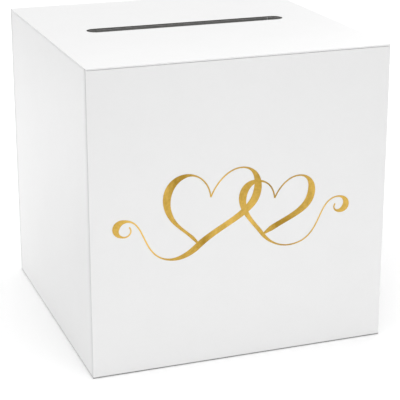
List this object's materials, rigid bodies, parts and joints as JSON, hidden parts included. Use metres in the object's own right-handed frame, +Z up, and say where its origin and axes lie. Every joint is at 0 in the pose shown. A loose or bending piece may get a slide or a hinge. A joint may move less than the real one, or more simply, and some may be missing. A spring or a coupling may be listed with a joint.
{
  "type": "wedding card box",
  "caption": "Cube-shaped white paper-wrapped card box with a slotted, back-hinged lid, a magnetic tuck flap and a gold-foil linked-hearts ornament on the front.",
  "frame": {"origin": "centre of the underside, on the surface the box stands on", "axes": "+Z up, front face with the foil ornament towards -Y, lid hinge along the top back edge at +Y, +X to the right seen from the front"},
  "size_m": [0.254, 0.2541, 0.254],
  "materials": {
    "white_wrap_paper": "satin, fine grain",
    "greyboard": "raw, fibrous",
    "liner_paper": "matte",
    "tab_card": "matte",
    "double_sided_tape": "satin",
    "hinge_paper": "satin, fine grain",
    "gold_foil": "polished, slightly crinkled",
    "steel": "satin",
    "nickel_plate": "polished"
  },
  "bodies": {
    "box": {"base_cover_sheet": "white_wrap_paper", "base_board": "greyboard", "base_liner": "liner_paper", "front_wrap": "white_wrap_paper", "front_board": "greyboard", "front_liner": "liner_paper", "back_wrap": "white_wrap_paper", "back_board": "greyboard", "back_liner": "liner_paper", "left_wrap": "white_wrap_paper", "left_board": "greyboard", "left_liner": "liner_paper", "right_wrap": "white_wrap_paper", "right_board": "greyboard", "right_liner": "liner_paper", "keeper_disc_left": "steel", "keeper_disc_right": "steel", "corner_tab_front_left": "tab_card", "corner_tab_front_right": "tab_card", "corner_tab_back_left": "tab_card", "corner_tab_back_right": "tab_card", "tape_strip_front_left": "double_sided_tape", "tape_strip_front_right": "double_sided_tape", "tape_strip_back_left": "double_sided_tape", "tape_strip_back_right": "double_sided_tape", "foil_ornament": "gold_foil", "lid_hinge_band": "hinge_paper"},
    "lid": {"lid_wrap": "white_wrap_paper", "lid_board": "greyboard", "lid_liner": "liner_paper", "flap_hinge_tape": "hinge_paper"},
    "tuck_flap": {"flap_wrap": "white_wrap_paper", "flap_board": "greyboard", "flap_liner": "liner_paper", "flap_magnet_left": "nickel_plate", "flap_magnet_right": "nickel_plate"}
  },
  "joints": [
    {"name": "lid_hinge", "type": "hinge", "parent": "box", "child": "lid", "pos_m": [0, 0.127, 0.25259], "axis": [-1, 0, 0], "range_deg": [0, 175], "deforming": ["lid_hinge_band"]},
    {"name": "flap_hinge", "type": "hinge", "parent": "lid", "child": "tuck_flap", "pos_m": [0, -0.12187, 0.25246], "axis": [1, 0, 0], "range_deg": [0, 85], "deforming": ["flap_hinge_tape"]}
  ]
}
